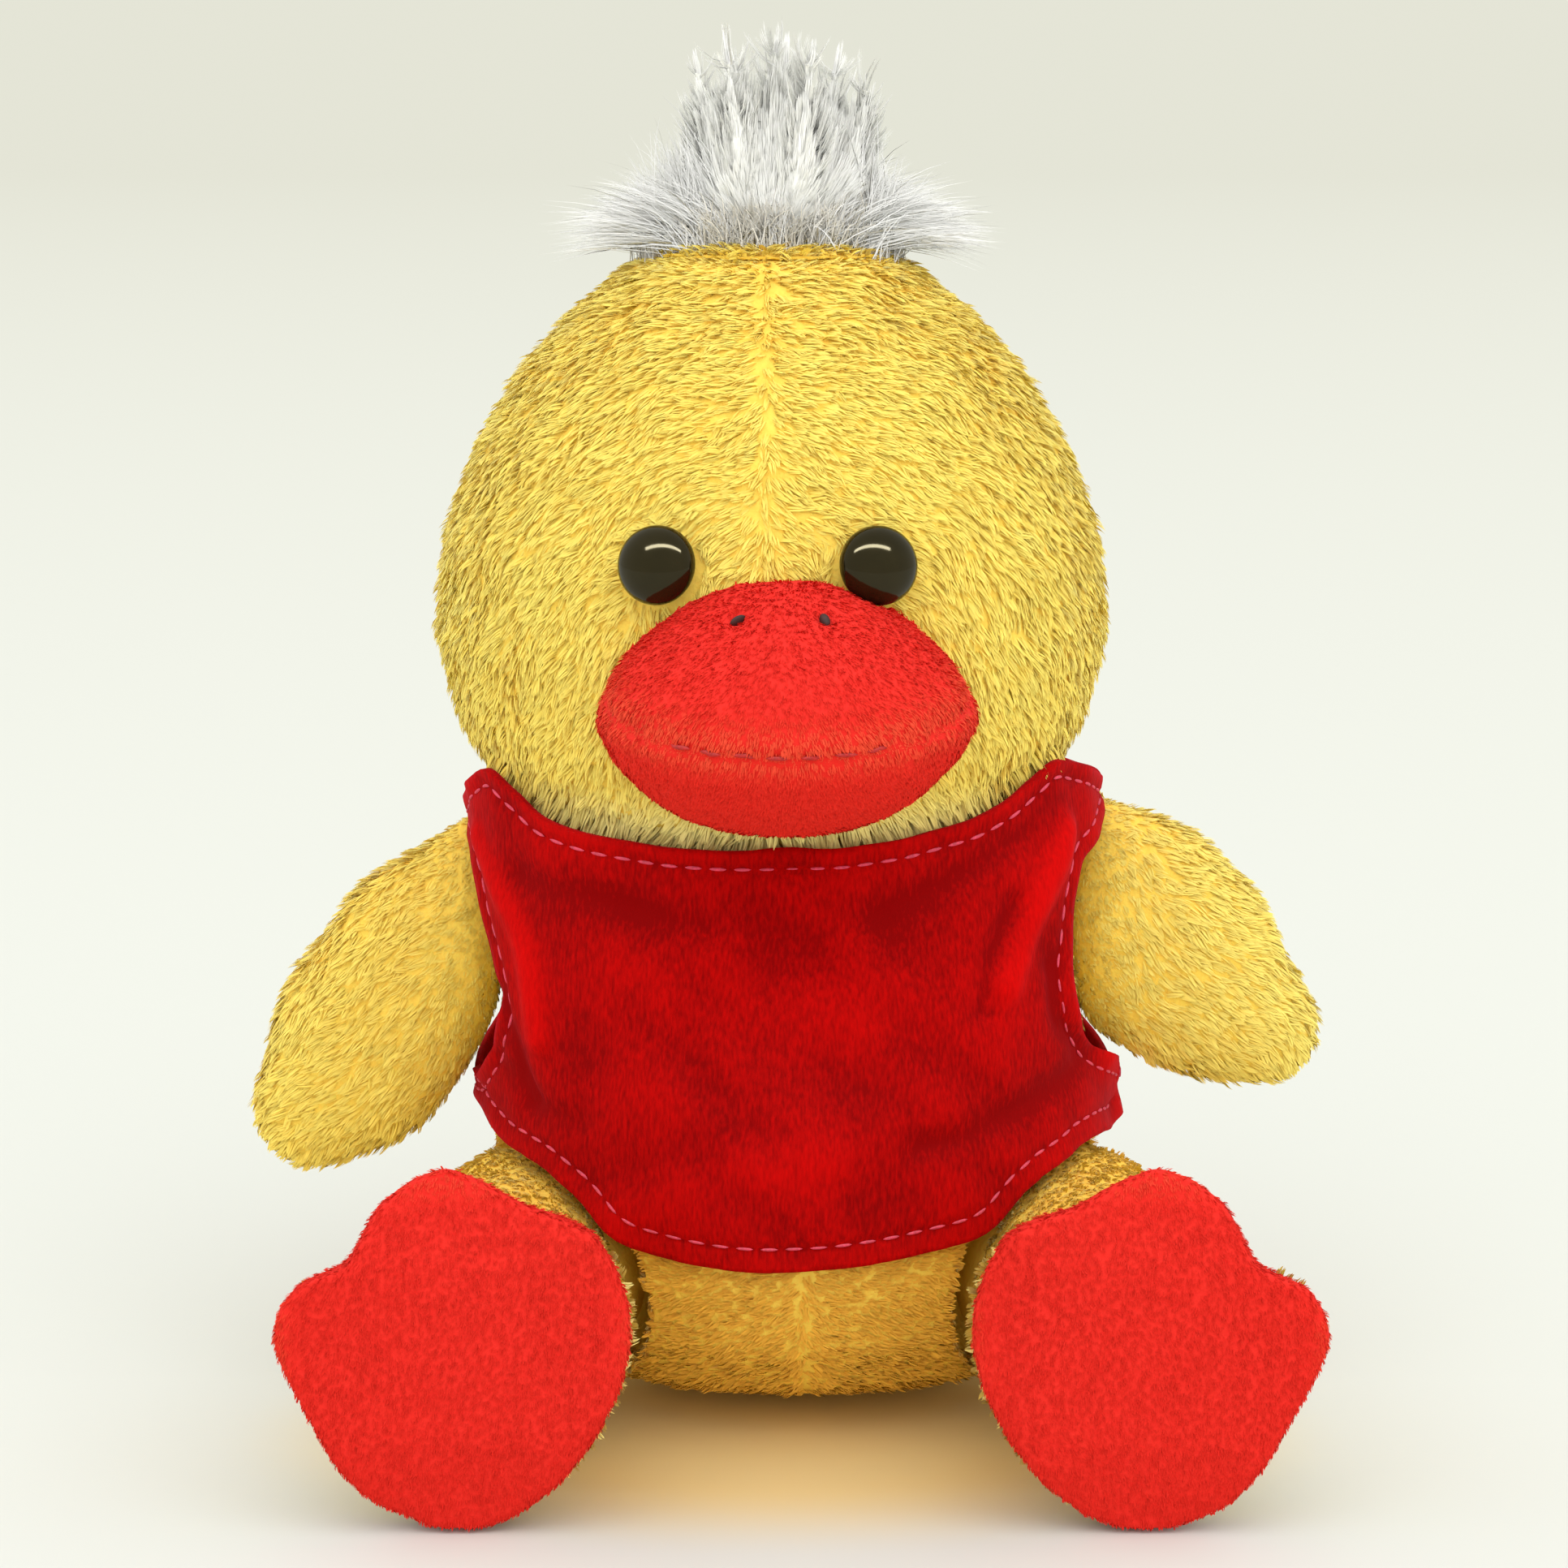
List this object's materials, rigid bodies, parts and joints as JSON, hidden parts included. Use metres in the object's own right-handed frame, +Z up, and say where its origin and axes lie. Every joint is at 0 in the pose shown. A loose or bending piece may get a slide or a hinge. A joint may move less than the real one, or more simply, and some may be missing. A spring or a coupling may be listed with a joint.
{
  "type": "plush duck",
  "caption": "Sitting plush duck with turning head, swinging wings, splaying legs, a padded bill, domed eyes, a fur tuft and a sleeveless vest.",
  "frame": {"origin": "on the floor under the seat, in the middle of the body's flat base", "axes": "+Z up through the head; the face and feet point to -Y; +X is the duck's own left"},
  "size_m": [0.1338, 0.1114, 0.168],
  "materials": {
    "yellow_plush": "short velvety pile",
    "red_plush": "short velvety pile",
    "vest_cloth": "velour with pink topstitching",
    "white_fur": "long straight fur",
    "stuffing": "loose polyester fibre",
    "black_plastic": "polished",
    "washer_plastic": "moulded"
  },
  "bodies": {
    "torso": {"body_panel_left": "yellow_plush", "body_panel_right": "yellow_plush", "body_stuffing": "stuffing", "tail_upper": "yellow_plush", "tail_lower": "yellow_plush", "tail_stuffing": "stuffing", "vest_front": "vest_cloth", "vest_back": "vest_cloth"},
    "head": {"head_panel_left": "yellow_plush", "head_panel_right": "yellow_plush", "head_stuffing": "stuffing", "eye_left": "black_plastic", "eye_right": "black_plastic", "eye_washer_left": "washer_plastic", "eye_washer_right": "washer_plastic", "bill_upper": "red_plush", "bill_lower": "red_plush", "bill_stuffing": "stuffing", "hair_patch": "white_fur", "hair_tuft": "white_fur"},
    "wing_left": {"wing_left_front": "yellow_plush", "wing_left_back": "yellow_plush", "wing_left_stuffing": "stuffing"},
    "wing_right": {"wing_right_front": "yellow_plush", "wing_right_back": "yellow_plush", "wing_right_stuffing": "stuffing"},
    "leg_left": {"leg_left": "yellow_plush", "leg_left_stuffing": "stuffing", "foot_left_upper": "yellow_plush", "foot_left_sole": "red_plush", "foot_left_stuffing": "stuffing"},
    "leg_right": {"leg_right": "yellow_plush", "leg_right_stuffing": "stuffing", "foot_right_upper": "yellow_plush", "foot_right_sole": "red_plush", "foot_right_stuffing": "stuffing"}
  },
  "joints": [
    {"name": "head_turn", "type": "hinge", "parent": "torso", "child": "head", "pos_m": [-0.0015, 0, 0.075], "axis": [0, 0, 1], "range_deg": [-30, 30], "stiffness_Nm_per_rad": 0.02},
    {"name": "wing_left_swing", "type": "hinge", "parent": "torso", "child": "wing_left", "pos_m": [0.03779, 0, 0.0605], "axis": [0.0718, 0, -0.9974], "range_deg": [-25, 25], "stiffness_Nm_per_rad": 0.01},
    {"name": "wing_right_swing", "type": "hinge", "parent": "torso", "child": "wing_right", "pos_m": [-0.03655, 0, 0.0605], "axis": [0.0239, 0, 0.9997], "range_deg": [-25, 25], "stiffness_Nm_per_rad": 0.01},
    {"name": "leg_left_splay", "type": "hinge", "parent": "torso", "child": "leg_left", "pos_m": [0.035, -0.013, 0.0185], "axis": [0, 0, 1], "range_deg": [0, 25], "stiffness_Nm_per_rad": 0.02},
    {"name": "leg_right_splay", "type": "hinge", "parent": "torso", "child": "leg_right", "pos_m": [-0.031, -0.013, 0.0185], "axis": [0, 0, -1], "range_deg": [0, 25], "stiffness_Nm_per_rad": 0.02}
  ]
}
